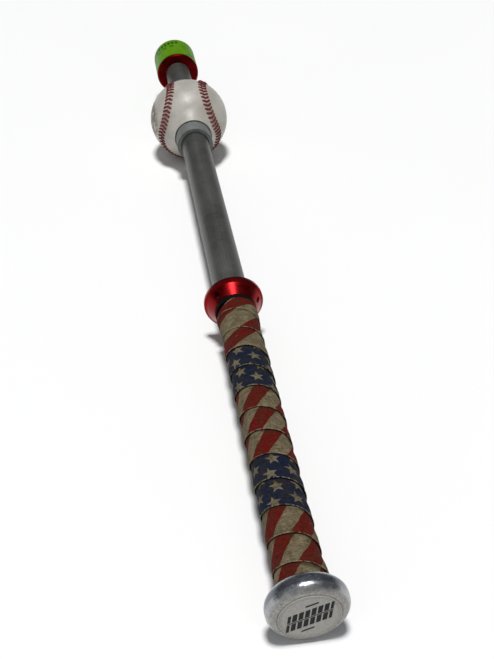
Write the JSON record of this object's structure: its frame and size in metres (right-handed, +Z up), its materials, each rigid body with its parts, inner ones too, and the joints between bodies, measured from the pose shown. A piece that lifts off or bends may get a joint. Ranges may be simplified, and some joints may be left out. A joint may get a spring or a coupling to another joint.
{
  "type": "baseball swing trainer stick",
  "caption": "Batting swing trainer: a drilled ball slides and turns on a metal rod between a stop collar above a taped grip with a round knob and a cap at the tip.",
  "frame": {"origin": "centre of the knob's flat end face, on the rod's axis", "axes": "+Y along the rod from the knob to the tip cap, +Z up with the stick lying level, +X to the right seen from the knob"},
  "size_m": [0.0746, 0.737, 0.0746],
  "materials": {
    "rod_aluminium": "matte",
    "plain_aluminium": "satin",
    "knob_aluminium": "worn satin",
    "steel": "satin",
    "decal": "satin",
    "grip_cloth": "worn cloth",
    "black_band": "satin",
    "red_anodised": "satin",
    "dark_red_anodised": "satin",
    "green_label": "satin",
    "grey_pvc": "matte",
    "ball_leather": "worn smooth",
    "red_thread": "waxed thread",
    "cotton": "yarn",
    "wool": "yarn"
  },
  "bodies": {
    "stick": {"shaft_tube": "rod_aluminium", "shaft_plug": "plain_aluminium", "knob": "knob_aluminium", "knob_screw": "steel", "knob_decal": "decal", "grip_tape": "grip_cloth", "grip_end_band": "black_band", "stop_collar": "red_anodised", "collar_set_screws": "steel", "tip_cap": "dark_red_anodised", "tip_label": "green_label", "tip_set_screws": "steel"},
    "sleeve": {"ball_sleeve": "grey_pvc"},
    "ball": {"ball_cover_front": "ball_leather", "ball_cover_back": "ball_leather", "ball_stitching": "red_thread", "cotton_winding": "cotton", "wool_winding_outer": "wool", "wool_winding_inner": "wool"}
  },
  "joints": [
    {"name": "ball_slide", "type": "slide", "parent": "stick", "child": "sleeve", "axis": [0, 1, 0], "range_m": [-0.2485, 0.0505]},
    {"name": "ball_spin", "type": "hinge", "parent": "sleeve", "child": "ball", "pos_m": [0, 0.588, 0], "axis": [0, 1, 0], "continuous": true}
  ]
}
